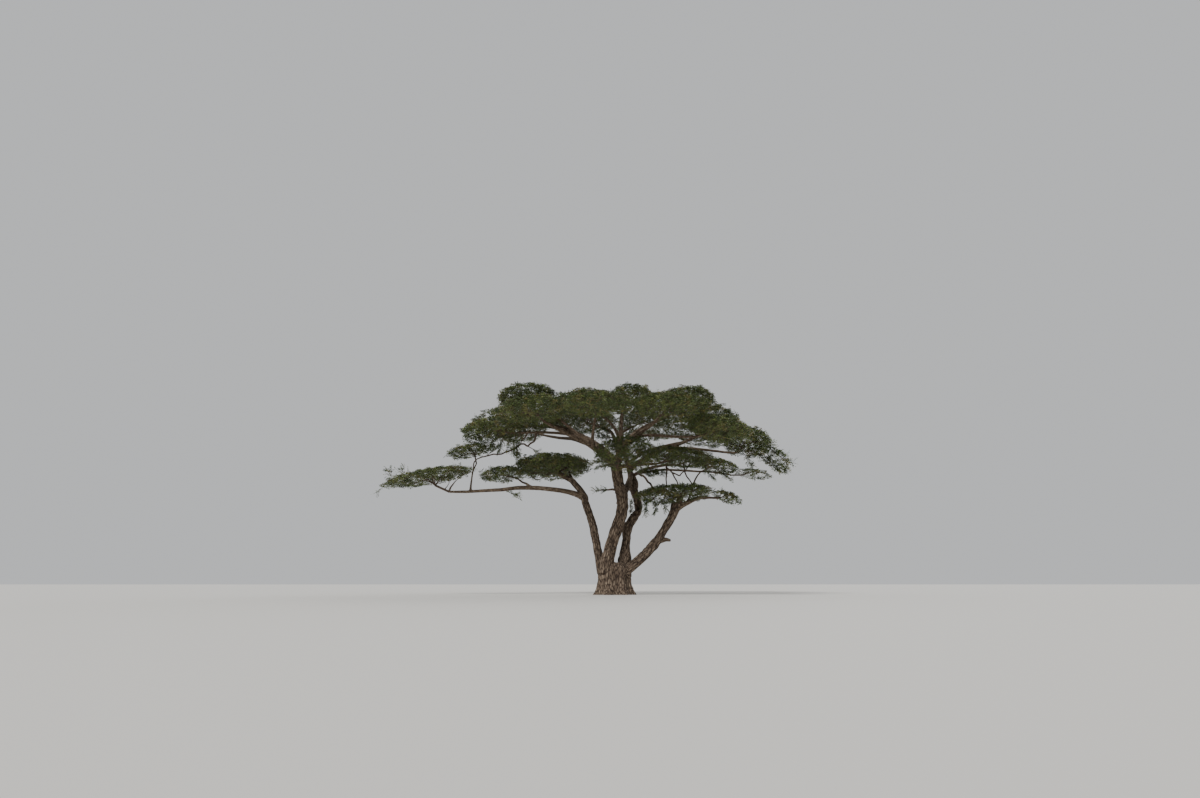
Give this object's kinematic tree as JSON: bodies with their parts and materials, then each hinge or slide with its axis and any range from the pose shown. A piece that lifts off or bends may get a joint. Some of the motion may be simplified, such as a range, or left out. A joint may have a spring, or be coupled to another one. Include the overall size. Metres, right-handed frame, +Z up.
{
  "type": "acacia tree",
  "caption": "Wide savanna tree with a short flared trunk, leaning stems, long boughs and a layered, nearly flat-topped crown of separate foliage masses.",
  "frame": {"origin": "middle of the flat cut under the trunk, at ground level", "axes": "+Z up from the ground, X along the crown's longest side with its lowest and furthest arm towards -X, -Y the front, which the picture shows"},
  "size_m": [21.3549, 13.0725, 10.4964],
  "materials": {
    "bark": "rough, deeply fissured, grey-brown",
    "foliage": "fine feathery leaves, dull dark olive green"
  },
  "bodies": {
    "root": {"trunk": "bark", "middle_stem": "bark", "back_stem": "bark", "left_stem": "bark", "right_stem": "bark", "broken_stub": "bark", "right_low_bough": "bark", "right_riser": "bark", "left_low_bough": "bark", "left_riser": "bark", "left_tier_bough": "bark", "back_left_low_bough": "bark", "upper_left_bough": "bark", "left_shoulder_bough": "bark", "top_left_bough": "bark", "back_left_bough": "bark", "leader": "bark", "top_centre_bough": "bark", "back_centre_bough": "bark", "top_right_bough": "bark", "front_left_bough": "bark", "front_centre_bough": "bark", "front_right_bough": "bark", "front_end_bough": "bark", "inner_front_bough": "bark", "right_shoulder_bough": "bark", "right_end_bough": "bark", "right_tier_bough": "bark", "right_tip_bough": "bark", "back_tier_bough": "bark", "back_end_bough": "bark", "far_left_foliage": "foliage", "left_riser_foliage": "foliage", "left_tier_foliage": "foliage", "left_mid_foliage": "foliage", "back_left_low_foliage": "foliage", "left_shoulder_foliage": "foliage", "upper_left_foliage": "foliage", "top_left_foliage": "foliage", "back_left_foliage": "foliage", "top_centre_foliage": "foliage", "inner_left_foliage": "foliage", "crown_top_foliage": "foliage", "back_centre_foliage": "foliage", "top_right_foliage": "foliage", "front_left_foliage": "foliage", "front_centre_foliage": "foliage", "front_right_foliage": "foliage", "front_end_foliage": "foliage", "inner_front_foliage": "foliage", "right_shoulder_foliage": "foliage", "right_end_foliage": "foliage", "right_tier_foliage": "foliage", "right_thin_foliage": "foliage", "right_tip_foliage": "foliage", "back_tier_foliage": "foliage", "back_right_foliage": "foliage", "back_end_foliage": "foliage", "right_low_foliage": "foliage", "right_low_tip_foliage": "foliage"}
  },
  "joints": []
}
